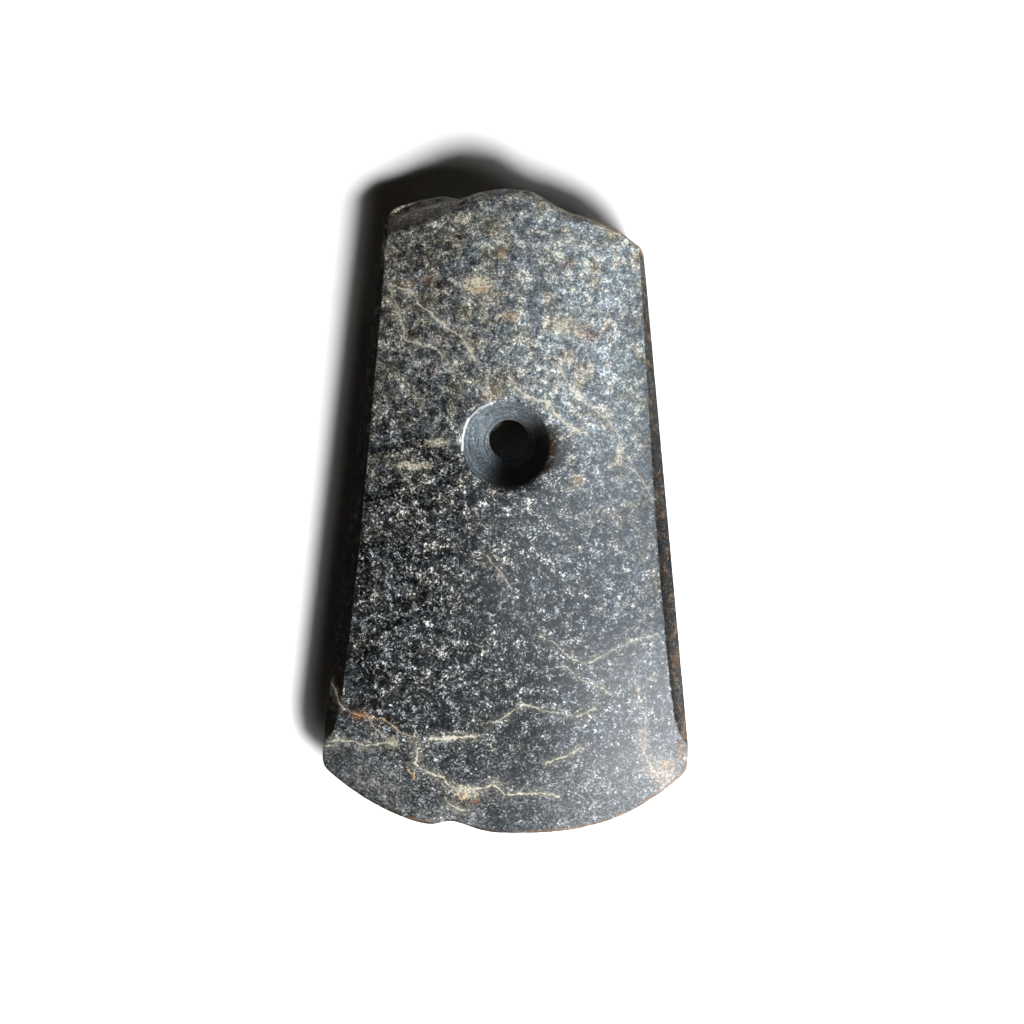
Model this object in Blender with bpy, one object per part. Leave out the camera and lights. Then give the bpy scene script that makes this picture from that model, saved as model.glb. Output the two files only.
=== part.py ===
import math

import bmesh
import bpy
from mathutils import Vector

# Plan of the axe, in metres: X across, Y towards the butt, Z up
AXE_LENGTH = 0.160
BUTT_WIDTH = 0.0642
EDGE_WIDTH = 0.0909
BUTT_SHIFT = 0.0022          # the butt's middle lies this far right of the edge's
BUTT_DROP = 0.0151           # from the butt's peak down to its right corner
EDGE_SWEEP_LEFT = 0.0155     # from the edge's lowest point up to its left end
EDGE_SWEEP_RIGHT = 0.0173    # and up to its right end
EDGE_END_RISE = 0.0040       # upright stretch between an end of the edge and its side
EDGE_LOW_SHIFT = 0.0015      # the edge's lowest point lies this far right
CORNER_WEAR = 0.0011         # how far worn corners spread along the outline

# Section
FRONT_CROWN = 0.0108         # height of the front face over the middle plane
BACK_CROWN = 0.0102          # depth of the back face below it, before it is ground flat
REST_CUT = 0.0008            # ground off the back, so that the axe lies still
SIDE_HALF = 0.0026           # half the upright band along each side
BUTT_HALF = 0.0036           # half the upright band of the broken butt
EDGE_HALF = 0.0004           # half the thickness of the cutting edge
BEVEL_WEAR = 0.0030          # softness of the line where a face turns down to the edge
ARRIS_WEAR = 0.0006          # softness of every other arris

# Hole, drilled from both faces
HOLE_FROM_BUTT = 0.0621      # from the butt's peak to the middle of the waist
HOLE_SHIFT = 0.0009          # the waist's middle lies this far right
FRONT_RIM_RADIUS = 0.0108
BACK_RIM_RADIUS = 0.0100
WAIST_RADIUS = 0.0049
WAIST_LENGTH = 0.0016
DRILL_LEAN = 0.0016          # the front funnel's mouth lies this far towards the edge
DRILL_LEAN_LEFT = 0.0006     # and this far to the left

# Chip out of the cutting edge
CHIP_SHIFT = -0.0132
CHIP_DEPTH = 0.0022
CHIP_SPREAD_LEFT = 0.0038
CHIP_SPREAD_RIGHT = 0.0062

# Slopes of the faces, as rise for each unit inwards
BEVEL_SLOPE = 0.37
CHIP_SLOPE = 1.0             # of the scar that the chip left
SIDE_SLOPE_AT_BUTT = 1.7
SIDE_SLOPE_AT_EDGE = 0.65
BUTT_SLOPE = 2.0

# Free forms, as shares
CROWN_SHARE = 0.50           # of a face's height, lost between its middle and its side
BUTT_THINNING = 0.36         # of a face's height, lost from its highest point to the butt
BLADE_THINNING = 0.42        # and from its highest point to the cutting edge
HIGH_POINT = 0.47            # of the length, from the edge to where the faces stand highest
SWEEP_POWER_LEFT = 2.6       # how flat the cutting edge is left of its lowest point
SWEEP_POWER_RIGHT = 2.7      # and right of it
EDGE_REACH = 0.995           # of half the edge's width, where its own line ends
CLOSEST_SHARE = 0.5          # of a point's distance from the hole, the least counted square to it
# The butt's break from left to right: share of its width, share of its drop
BUTT_BREAK = (
    (0.0, 0.54), (0.03, 0.31), (0.135, 0.165), (0.235, 0.105), (0.29, 0.175), (0.365, 0.045),
    (0.45, 0.0), (0.57, 0.045), (0.65, 0.25), (0.715, 0.41), (0.79, 0.48), (0.9, 0.675), (1.0, 1.0),
)
# Flake scars on the front of the butt: share of its width, share of the length below its
# peak, heading of the fall in degrees from +X, slope, share of the crown where it starts
BUTT_SCARS = (
    (0.104, 0.043, 122, 0.90, 0.49),
    (0.372, 0.020, 116, 0.90, 0.63),
)

# Mesh
OUTLINE_POINTS = 124
OUTLINE_STEP = 0.0005
EDGE_STEPS = 60
DISTANCE_PASSES = 3
BEND_WEIGHT = 0.03           # metres of straight line that a bend of one radian counts for
RING_INSETS = (0.0008, 0.0018, 0.0030, 0.0055, 0.0100)
RING_SHARES = (0.17, 0.34, 0.51, 0.68, 0.84, 1.0)
FUNNEL_SHARES = (0.33, 0.67, 1.0)


def butt_y():
    return AXE_LENGTH / 2


def edge_sweep(side):
    return EDGE_SWEEP_LEFT if side < 0 else EDGE_SWEEP_RIGHT


def side_low_y(side):
    """Where the left (-1) or right (1) side ends and the corner of the cutting edge begins."""
    return -AXE_LENGTH / 2 + edge_sweep(side) + EDGE_END_RISE


def sweep_y(x):
    """The cutting edge at x as it was ground: a sweep with a flat middle."""
    share = (x - EDGE_LOW_SHIFT) / (EDGE_WIDTH / 2)
    power = SWEEP_POWER_LEFT if share < 0 else SWEEP_POWER_RIGHT
    return -AXE_LENGTH / 2 + edge_sweep(share) * abs(share) ** power


def edge_y(x):
    """The cutting edge at x as it is now, with one lopsided chip."""
    from_chip = x - CHIP_SHIFT
    spread = CHIP_SPREAD_LEFT if from_chip < 0 else CHIP_SPREAD_RIGHT
    return sweep_y(x) + CHIP_DEPTH * math.exp(-((from_chip / spread) ** 2))


def butt_share(x):
    """Share of the butt's width at x, from its left corner."""
    return (x - BUTT_SHIFT) / BUTT_WIDTH + 0.5


def break_y(x):
    """The line of the broken butt at x."""
    share = max(0.0, min(1.0, butt_share(x)))
    for (a, drop_a), (b, drop_b) in zip(BUTT_BREAK, BUTT_BREAK[1:]):
        if share <= b:
            break
    return butt_y() - BUTT_DROP * (drop_a + (drop_b - drop_a) * (share - a) / (b - a))


def side_x(side, y):
    """Where the left (-1) or right (1) side stands at y."""
    corner = butt_y() - BUTT_DROP * BUTT_BREAK[0 if side < 0 else -1][1]
    share = (y - side_low_y(side)) / (corner - side_low_y(side))
    at_edge = side * EDGE_WIDTH / 2
    at_butt = BUTT_SHIFT + side * BUTT_WIDTH / 2
    return at_edge + (at_butt - at_edge) * share


def sharp_outline():
    """The plan before its corners are worn, anticlockwise from the right end of the edge."""
    points = [(EDGE_WIDTH / 2, side_low_y(1))]
    for across, drop in reversed(BUTT_BREAK):
        points.append((BUTT_SHIFT + (across - 0.5) * BUTT_WIDTH, butt_y() - BUTT_DROP * drop))
    points.append((-EDGE_WIDTH / 2, side_low_y(-1)))
    for step in range(EDGE_STEPS + 1):
        x = (step / EDGE_STEPS - 0.5) * EDGE_WIDTH * EDGE_REACH
        points.append((x, edge_y(x)))
    return [Vector(point) for point in points]


def bend(before, here, after):
    return (here - before).angle(after - here, 0.0)


def respaced(points, count, bend_weight):
    """Count points along a closed line, closer together where it bends."""
    total = len(points)
    weights = []
    for i in range(total):
        here, after = points[i], points[(i + 1) % total]
        weight = (after - here).length
        if bend_weight:
            weight += bend_weight * bend(points[i - 1], here, after)
        weights.append(weight)
    step = sum(weights) / count
    spaced = []
    piece = 0
    passed = 0.0
    for index in range(count):
        target = index * step
        while passed + weights[piece] < target:
            passed += weights[piece]
            piece += 1
        share = (target - passed) / weights[piece]
        spaced.append(points[piece].lerp(points[(piece + 1) % total], share))
    return spaced


def smoothed(values, passes):
    """A closed row of numbers or points, each pass mixing it with its neighbours."""
    for _ in range(passes):
        count = len(values)
        values = [
            (values[i - 1] + values[i] * 2 + values[(i + 1) % count]) / 4
            for i in range(count)
        ]
    return values


def outline():
    """The plan with its corners worn."""
    sharp = sharp_outline()
    around = sum((b - a).length for a, b in zip(sharp, sharp[1:] + sharp[:1]))
    fine = respaced(sharp, round(around / OUTLINE_STEP), 0)
    passes = round(2 * (CORNER_WEAR / OUTLINE_STEP) ** 2)
    return respaced(smoothed(fine, passes), OUTLINE_POINTS, BEND_WEIGHT)


def soft_min(a, b, wear):
    """The lower of two heights, with the arris between them worn."""
    mix = max(0.0, min(1.0, 0.5 + 0.5 * (b - a) / wear))
    return b + (a - b) * mix - wear * mix * (1 - mix)


def face_height(x, y, crown, scars):
    """Height of a ground face over the middle plane."""
    left, right = side_x(-1, y), side_x(1, y)
    across = (2 * x - left - right) / (right - left)
    high_y = AXE_LENGTH * (HIGH_POINT - 0.5)
    along = (y - high_y) / (butt_y() - high_y if y > high_y else high_y + butt_y())
    thinning = BUTT_THINNING if y > high_y else BLADE_THINNING
    height = crown * (1 - CROWN_SHARE * across**2) * (1 - thinning * along**2)
    bevel = EDGE_HALF + BEVEL_SLOPE * max(0.0, y - sweep_y(x))
    height = soft_min(height, bevel, BEVEL_WEAR)
    height = min(height, EDGE_HALF + CHIP_SLOPE * max(0.0, y - edge_y(x)))
    to_butt = (y + butt_y()) / AXE_LENGTH
    side_slope = SIDE_SLOPE_AT_EDGE + (SIDE_SLOPE_AT_BUTT - SIDE_SLOPE_AT_EDGE) * to_butt
    side = SIDE_HALF + side_slope * max(0.0, min(right - x, x - left))
    height = soft_min(height, side, ARRIS_WEAR)
    butt = BUTT_HALF + BUTT_SLOPE * max(0.0, break_y(x) - y)
    height = soft_min(height, butt, ARRIS_WEAR)
    for share, below, heading, slope, left_of_crown in scars:
        from_x = x - BUTT_SHIFT - (share - 0.5) * BUTT_WIDTH
        from_y = y - butt_y() + below * AXE_LENGTH
        turn = math.radians(heading)
        fall = slope * (from_x * math.cos(turn) + from_y * math.sin(turn))
        height = soft_min(height, crown * left_of_crown - fall, ARRIS_WEAR)
    return max(height, EDGE_HALF)


def square_distances(points, middle):
    """How far each point's stretch of outline lies from the middle, measured square to it."""
    count = len(points)
    distances = []
    for i, point in enumerate(points):
        along = points[(i + 1) % count] - points[i - 1]
        outward = Vector((along.y, -along.x)).normalized()
        reach = point - middle
        distances.append(max(reach.dot(outward), reach.length * CLOSEST_SHARE))
    return smoothed(distances, DISTANCE_PASSES)


def rim_directions(points, middle):
    """A direction round the hole for each outline point, halfway to even spacing."""
    count = len(points)
    angles = []
    for point in points:
        reach = point - middle
        angle = math.atan2(reach.y, reach.x)
        if angles and angle < angles[-1] - math.pi:
            angle += 2 * math.pi
        angles.append(angle)
    even = [2 * math.pi * i / count for i in range(count)]
    start = sum(a - e for a, e in zip(angles, even)) / count
    mixed = [(a + e + start) / 2 for a, e in zip(angles, even)]
    return [Vector((math.cos(angle), math.sin(angle))) for angle in mixed]


def face_rings(points, mouth, rim_radius):
    """Rings in plan from the outline, along the side's facet, in to the rim of the hole."""
    distances = square_distances(points, mouth)
    rings = [points]
    for inset in RING_INSETS:
        rings.append([
            mouth + (p - mouth) * (1 - inset / d) for p, d in zip(points, distances)
        ])
    rim = [mouth + way * rim_radius for way in rim_directions(points, mouth)]
    inner = rings[-1]
    for share in RING_SHARES:
        rings.append([a.lerp(b, share) for a, b in zip(inner, rim)])
    return rings


def funnel_loops(rim, waist):
    """Loops down one funnel, from the rim at the face to the waist."""
    return [[a.lerp(b, share) for a, b in zip(rim, waist)] for share in FUNNEL_SHARES]


def make_stone(name, collection):
    """The drilled stone: one closed loft out over each face, round the side and through the hole."""
    points = outline()
    xs = [point.x for point in points]
    ys = [point.y for point in points]
    middle = Vector(((min(xs) + max(xs)) / 2, (min(ys) + max(ys)) / 2))
    waist = Vector((HOLE_SHIFT, butt_y() - HOLE_FROM_BUTT))
    mouth = waist - Vector((DRILL_LEAN_LEFT, DRILL_LEAN))
    rest = BACK_CROWN - REST_CUT

    def front(p):
        return Vector((p.x, p.y, rest + face_height(p.x, p.y, FRONT_CROWN, BUTT_SCARS)))

    def back(p):
        return Vector((p.x, p.y, rest - min(rest, face_height(p.x, p.y, BACK_CROWN, ()))))

    def waist_loop(z):
        ring = [waist + way * WAIST_RADIUS for way in rim_directions(points, waist)]
        return [Vector((p.x, p.y, z)) for p in ring]

    front_loops = [[front(p) for p in ring] for ring in face_rings(points, mouth, FRONT_RIM_RADIUS)]
    back_loops = [[back(p) for p in ring] for ring in face_rings(points, waist, BACK_RIM_RADIUS)]
    front_funnel = funnel_loops(front_loops[-1], waist_loop(rest + WAIST_LENGTH / 2))
    back_funnel = funnel_loops(back_loops[-1], waist_loop(rest - WAIST_LENGTH / 2))
    loops = back_loops[::-1] + front_loops + front_funnel + back_funnel[::-1]
    mesh = bmesh.new()
    rows = [[mesh.verts.new((p.x - middle.x, p.y - middle.y, p.z)) for p in loop] for loop in loops]
    for low, high in zip(rows, rows[1:] + rows[:1]):
        for i in range(OUTLINE_POINTS):
            j = (i + 1) % OUTLINE_POINTS
            mesh.faces.new((low[i], low[j], high[j], high[i]))
    data = bpy.data.meshes.new(name)
    mesh.to_mesh(data)
    mesh.free()
    stone = bpy.data.objects.new(name, data)
    collection.objects.link(stone)
    return stone


def speckled_stone():
    material = bpy.data.materials.new("speckled_stone")
    material.use_nodes = True
    shader = material.node_tree.nodes["Principled BSDF"]
    shader.inputs["Base Color"].default_value = (0.105, 0.115, 0.115, 1)
    shader.inputs["Roughness"].default_value = 0.38
    shader.inputs["Metallic"].default_value = 0
    return material


def main():
    for obj in list(bpy.data.objects):
        bpy.data.objects.remove(obj, do_unlink=True)
    parts = bpy.data.collections.new("stone_axe")
    bpy.context.scene.collection.children.link(parts)
    axe_head = make_stone("axe_head", parts)
    axe_head.data.materials.append(speckled_stone())
    axe_head.data.shade_smooth()
    axe_head.data.set_sharp_from_angle(angle=math.radians(30))


main()
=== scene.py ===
import math

import bpy
import numpy as np
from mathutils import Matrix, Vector


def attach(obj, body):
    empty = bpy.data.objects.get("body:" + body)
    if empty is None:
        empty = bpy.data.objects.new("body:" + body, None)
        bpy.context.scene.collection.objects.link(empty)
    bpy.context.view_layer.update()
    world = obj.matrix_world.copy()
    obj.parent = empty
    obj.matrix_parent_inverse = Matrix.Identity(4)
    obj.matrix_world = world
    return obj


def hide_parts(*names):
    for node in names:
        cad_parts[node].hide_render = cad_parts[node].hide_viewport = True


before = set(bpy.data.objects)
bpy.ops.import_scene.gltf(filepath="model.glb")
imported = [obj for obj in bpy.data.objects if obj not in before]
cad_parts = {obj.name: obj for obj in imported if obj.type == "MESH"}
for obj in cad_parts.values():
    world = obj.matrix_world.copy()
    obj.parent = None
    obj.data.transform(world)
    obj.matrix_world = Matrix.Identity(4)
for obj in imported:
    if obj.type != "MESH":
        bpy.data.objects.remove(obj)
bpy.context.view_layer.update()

# Sizes of the axe, in metres, slopes as rise for each unit inwards, shares without a unit.
# A sweep is how far the cutting edge curves up at that end, and its power how late it does
axe = {
    "length": 0.160, "buttWidth": 0.0642, "edgeWidth": 0.0909, "buttShift": 0.0022,
    "buttDrop": 0.0151, "sweepLeft": 0.0155, "sweepRight": 0.0173, "powerLeft": 2.6,
    "powerRight": 2.7, "edgeEndRise": 0.0040, "edgeLowShift": 0.0015, "edgeReach": 0.995,
    "cornerWear": 0.0011,
    "frontCrown": 0.0108, "backCrown": 0.0102, "restCut": 0.0008, "sideHalf": 0.0026,
    "buttHalf": 0.0036, "edgeHalf": 0.0004, "bevelWear": 0.0030, "arrisWear": 0.0006,
    "bevelSlope": 0.37, "sideSlopeAtButt": 1.7, "sideSlopeAtEdge": 0.65, "buttSlope": 2.0,
    "crownShare": 0.50, "buttThinning": 0.36, "bladeThinning": 0.42, "highPoint": 0.47,
    "chipShift": -0.0132, "chipDepth": 0.0022, "chipLeft": 0.0038, "chipRight": 0.0062,
    "chipSlope": 1.0,
}
hole = {
    "fromButt": 0.0621, "shift": 0.0009, "frontRim": 0.0108, "backRim": 0.0100, "waist": 0.0049,
    "waistLength": 0.0016, "lean": 0.0016, "leanLeft": 0.0006, "rimWear": 0.00035, "rimWearSpread": 0.0009,
}
# The butt's break from left to right: share of its width, share of its drop
buttBreak = (
    (0.0, 0.54), (0.03, 0.31), (0.135, 0.165), (0.235, 0.105), (0.29, 0.175), (0.365, 0.045),
    (0.45, 0.0), (0.57, 0.045), (0.65, 0.25), (0.715, 0.41), (0.79, 0.48), (0.9, 0.675), (1.0, 1.0),
)
# Flake scars on the front of the butt: share of its width, share of the length below its
# peak, heading of the fall in degrees from +X, slope, share of the crown where it starts
buttScars = ((0.104, 0.043, 122, 0.90, 0.49), (0.372, 0.020, 116, 0.90, 0.63))
# Rows and columns of the fine mesh, and where each stretch of a section ends
weave = {
    "around": 380, "rows": 250, "bandEnd": 0.035, "insetEnd": 0.36, "rimAt": 0.74, "waistAt": 0.97,
    "inset": 0.0100, "insetPower": 1.3, "outlineStep": 0.0005, "bendWeight": 0.03, "edgePoints": 61,
    "squarePasses": 9, "mergeGap": 1e-7,
}
# Wear of the surface: how deep, in metres, and how many bumps to a metre. A range is the span
# of noise, of the inset's share or of height over which the wear sets in
wear = {
    "swell": 0.00016, "swellScale": 55, "break": 0.0011, "breakScale": 260, "breakReach": 0.0035,
    "breakRange": (0.35, 0.75), "nick": 0.00045, "nickScale": 420, "nickRange": (0.52, 0.75),
    "nickReach": 0.35, "nickLossOnBreak": 0.3, "chipShare": 0.7, "thinReach": 0.2, "thinShare": 0.25,
    "restRange": (0.00002, 0.0006), "facetRange": (-0.0007, 0.0005), "drillRing": 0.00003,
    "drillRings": 8, "seed": 3.0,
}
# Chips: place in plan and height over the middle plane, and radius of the scoop, all in mm
chips = (
    (-13.0, -76.6, 1.9, 2.2), (36.9, -72.4, 1.2, 2.0), (-36.0, -72.6, -1.2, 2.2), (21.0, -79.4, 1.0, 2.0),
    (-11.6, 79.6, 4.5, 3.4), (14.0, 77.6, 4.8, 3.2), (31.5, 69.6, 3.6, 2.6), (-29.6, 76.2, 3.6, 3.6),
    (45.8, -38.0, 2.6, 1.8), (42.4, 2.0, 4.6, 1.6), (-42.2, -22.0, 4.0, 1.9), (5.0, 82.0, 3.0, 3.0),
)


def buttY():
    return axe["length"] / 2


def sideLowY(side):
    return -axe["length"] / 2 + axe["sweepLeft" if side < 0 else "sweepRight"] + axe["edgeEndRise"]


def edgeY(x):
    share = (x - axe["edgeLowShift"]) / (axe["edgeWidth"] / 2)
    sweep, power = ("sweepLeft", "powerLeft") if share < 0 else ("sweepRight", "powerRight")
    fromChip = x - axe["chipShift"]
    spread = axe["chipLeft" if fromChip < 0 else "chipRight"]
    chip = axe["chipDepth"] * math.exp(-((fromChip / spread) ** 2))
    return -axe["length"] / 2 + axe[sweep] * abs(share) ** axe[power] + chip


def sideLine(side):
    # x = start + slope * y for the left (-1) or right (1) side
    cornerY = buttY() - axe["buttDrop"] * buttBreak[0 if side < 0 else -1][1]
    atEdge = side * axe["edgeWidth"] / 2
    slope = (axe["buttShift"] + side * axe["buttWidth"] / 2 - atEdge) / (cornerY - sideLowY(side))
    return atEdge - slope * sideLowY(side), slope


def respaced(points, count, bendWeight):
    # count points along a closed line, closer together where it bends
    steps = np.roll(points, -1, 0) - points
    lengths = np.hypot(steps[:, 0], steps[:, 1])
    headings = np.arctan2(steps[:, 1], steps[:, 0])
    turns = np.abs((headings - np.roll(headings, 1) + np.pi) % (2 * np.pi) - np.pi)
    reach = np.concatenate([[0], np.cumsum(lengths + bendWeight * turns)])
    closed = np.vstack([points, points[:1]])
    targets = np.arange(count) * reach[-1] / count
    return np.stack([np.interp(targets, reach, closed[:, axis]) for axis in (0, 1)], 1)


def smoothed(values, passes):
    for _ in range(passes):
        values = (np.roll(values, 1, 0) + 2 * values + np.roll(values, -1, 0)) / 4
    return values


def outlinePoints():
    # the plan with worn corners, anticlockwise from the right end of the cutting edge
    points = [(axe["edgeWidth"] / 2, sideLowY(1))]
    for across, drop in reversed(buttBreak):
        x = axe["buttShift"] + (across - 0.5) * axe["buttWidth"]
        points.append((x, buttY() - axe["buttDrop"] * drop))
    points.append((-axe["edgeWidth"] / 2, sideLowY(-1)))
    for x in np.linspace(-0.5, 0.5, weave["edgePoints"]) * axe["edgeWidth"] * axe["edgeReach"]:
        points.append((x, edgeY(x)))
    points = np.array(points)
    around = np.hypot(*(np.roll(points, -1, 0) - points).T).sum()
    fine = respaced(points, round(around / weave["outlineStep"]), 0)
    passes = round(2 * (axe["cornerWear"] / weave["outlineStep"]) ** 2)
    return respaced(smoothed(fine, passes), weave["around"], weave["bendWeight"])


class Graph:
    # a node tree under construction; add makes any node, wire gives one of its outputs
    def __init__(self, tree):
        self.tree = tree

    def add(self, kind, settings=None, values=None):
        node = self.tree.nodes.new(kind)
        for name, value in (settings or {}).items():
            if name == "curve":
                self.fillCurve(node.mapping, value)
            else:
                setattr(node, name, value)
        for name, value in (values or {}).items():
            if isinstance(value, Wire):
                self.tree.links.new(value.socket, node.inputs[name])
            else:
                node.inputs[name].default_value = value
        return node

    def wire(self, kind, settings=None, values=None, out=0):
        return Wire(self, self.add(kind, settings, values).outputs[out])

    def fillCurve(self, mapping, points):
        curve = mapping.curves[0]
        while len(curve.points) < len(points):
            curve.points.new(1.0, 1.0)
        for point, place in zip(curve.points, points):
            point.location = place
            point.handle_type = "VECTOR"
        mapping.update()

    def math(self, operation, *values):
        return self.wire("ShaderNodeMath", {"operation": operation}, dict(enumerate(values)))

    def vector(self, operation, *values, out=0):
        return self.wire("ShaderNodeVectorMath", {"operation": operation}, dict(enumerate(values)), out)

    def scaled(self, vector, factor):
        return self.wire("ShaderNodeVectorMath", {"operation": "SCALE"}, {0: vector, "Scale": factor})

    def xyz(self, vector):
        node = self.add("ShaderNodeSeparateXYZ", None, {0: vector})
        return [Wire(self, output) for output in node.outputs]

    def joined(self, x, y, z):
        return self.wire("ShaderNodeCombineXYZ", None, {0: x, 1: y, 2: z})

    def step(self, value, low, high, outLow=0.0, outHigh=1.0):
        # a smooth step needs no clamp, and a clamp kept apart would fill the shader's memory
        settings = {"interpolation_type": "SMOOTHSTEP", "clamp": False}
        places = {0: value, 1: low, 2: high, 3: outLow, 4: outHigh}
        return self.wire("ShaderNodeMapRange", settings, places)

    def ramp(self, value, low, high, outLow=0.0, outHigh=1.0):
        places = {0: value, 1: low, 2: high, 3: outLow, 4: outHigh}
        return self.wire("ShaderNodeMapRange", None, places)

    def mixed(self, factor, a, b):
        # two colours; the Mix node lists its colour sockets as inputs 6 and 7 and output 2
        node = self.add("ShaderNodeMix", {"data_type": "RGBA"})
        for index, value in ((0, factor), (6, a), (7, b)):
            if isinstance(value, Wire):
                self.tree.links.new(value.socket, node.inputs[index])
            else:
                node.inputs[index].default_value = value
        return Wire(self, node.outputs[2])

    def noise(self, place, scale, detail=2.0, roughness=0.5, out=0):
        values = {"Vector": place, "Scale": scale, "Detail": detail, "Roughness": roughness}
        return self.wire("ShaderNodeTexNoise", None, values, out)


class Wire:
    # one output socket: a formula on wires adds the Math nodes that work it out
    def __init__(self, graph, socket):
        self.graph = graph
        self.socket = socket

    def __add__(self, other):
        return self.graph.math("ADD", self, other)

    def __radd__(self, other):
        return self.graph.math("ADD", other, self)

    def __sub__(self, other):
        return self.graph.math("SUBTRACT", self, other)

    def __rsub__(self, other):
        return self.graph.math("SUBTRACT", other, self)

    def __mul__(self, other):
        return self.graph.math("MULTIPLY", self, other)

    def __rmul__(self, other):
        return self.graph.math("MULTIPLY", other, self)

    def __truediv__(self, other):
        return self.graph.math("DIVIDE", self, other)

    def __rtruediv__(self, other):
        return self.graph.math("DIVIDE", other, self)

    def __pow__(self, other):
        return self.graph.math("POWER", self, other)

    def __abs__(self):
        return self.graph.math("ABSOLUTE", self)

    def least(self, other):
        return self.graph.math("MINIMUM", self, other)

    def most(self, other):
        return self.graph.math("MAXIMUM", self, other)

    def softLeast(self, other, worn):
        return self.graph.math("SMOOTH_MIN", self, other, worn)

    def clamped(self):
        return self.graph.wire("ShaderNodeClamp", None, {0: self})


def outlineGuide(points):
    # the outline as loose points that carry what each section needs to know
    waist = np.array([hole["shift"], buttY() - hole["fromButt"]])
    along = np.roll(points, -1, 0) - np.roll(points, 1, 0)
    outward = np.stack([along[:, 1], -along[:, 0]], 1) / np.hypot(*along.T)[:, None]
    reach = points - waist
    square = np.maximum((reach * outward).sum(1), np.hypot(*reach.T) / 2)
    angles = np.unwrap(np.arctan2(reach[:, 1], reach[:, 0]))
    even = np.arange(len(points)) * 2 * np.pi / len(points)
    turns = (angles + even + (angles - even).mean()) / 2
    mesh = bpy.data.meshes.new("outlineGuide")
    mesh.from_pydata([(x, y, 0) for x, y in points], [], [])
    for name, values in (("squareDistance", smoothed(square, weave["squarePasses"])), ("rimTurn", turns)):
        attribute = mesh.attributes.new(name, "FLOAT", "POINT")
        attribute.data.foreach_set("value", values.astype(np.float32))
    guide = bpy.data.objects.new("outlineGuide", mesh)
    bpy.context.scene.collection.objects.link(guide)
    return guide


def faceHeight(g, x, y, crown, isFront, size):
    # height of a ground face over the middle plane, as fields of the place in plan
    leftStart, leftSlope = sideLine(-1)
    rightStart, rightSlope = sideLine(1)
    left = leftStart + leftSlope * y
    right = rightStart + rightSlope * y
    across = (2 * x - left - right) / (right - left)
    highY = axe["length"] * (axe["highPoint"] - 0.5)
    fromHigh = y - highY
    toButt = fromHigh.most(0.0) / (buttY() - highY)
    toEdge = fromHigh.least(0.0) / (buttY() + highY)
    thinned = 1 - size["Butt thinning"] * toButt * toButt - size["Blade thinning"] * toEdge * toEdge
    height = crown * (1 - size["Crown share"] * across * across) * thinned
    share = (x - axe["edgeLowShift"]) / (axe["edgeWidth"] / 2)
    isLeft = g.math("LESS_THAN", share, 0.0)
    sweepLeft = isLeft * axe["sweepLeft"] * abs(share) ** axe["powerLeft"]
    sweepRight = (1 - isLeft) * axe["sweepRight"] * abs(share) ** axe["powerRight"]
    fromSweep = y + axe["length"] / 2 - sweepLeft - sweepRight
    bevel = size["Edge half"] + size["Bevel slope"] * fromSweep.most(0.0)
    height = height.softLeast(bevel, size["Bevel wear"])
    fromChip = x - axe["chipShift"]
    onLeft = g.math("LESS_THAN", fromChip, 0.0)
    chipSpread = axe["chipRight"] + onLeft * (axe["chipLeft"] - axe["chipRight"])
    dent = fromChip / chipSpread
    chip = axe["chipDepth"] * g.math("EXPONENT", 0 - dent * dent)
    height = height.least(size["Edge half"] + axe["chipSlope"] * (fromSweep - chip).most(0.0))
    sideSlope = g.ramp(y, -buttY(), buttY(), axe["sideSlopeAtEdge"], axe["sideSlopeAtButt"])
    side = size["Side half"] + sideSlope * (right - x).least(x - left).most(0.0)
    onSide = g.step(height - side, *wear["facetRange"])
    height = height.softLeast(side, size["Arris wear"])
    breakShare = ((x - axe["buttShift"]) / axe["buttWidth"] + 0.5).clamped()
    drop = g.wire("ShaderNodeFloatCurve", {"curve": buttBreak}, {"Factor": 1.0, "Value": breakShare})
    below = buttY() - axe["buttDrop"] * drop - y
    height = height.softLeast(size["Butt half"] + axe["buttSlope"] * below.most(0.0), size["Arris wear"])
    for across, under, heading, slope, left in buttScars:
        fromX = x - axe["buttShift"] - (across - 0.5) * axe["buttWidth"]
        fromY = y - buttY() + under * axe["length"]
        turn = math.radians(heading)
        fall = slope * (math.cos(turn) * fromX + math.sin(turn) * fromY)
        scar = size["Front crown"] * left - fall + (1 - isFront)
        height = height.softLeast(scar, size["Arris wear"])
    return height.most(size["Edge half"]), below, onSide


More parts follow.
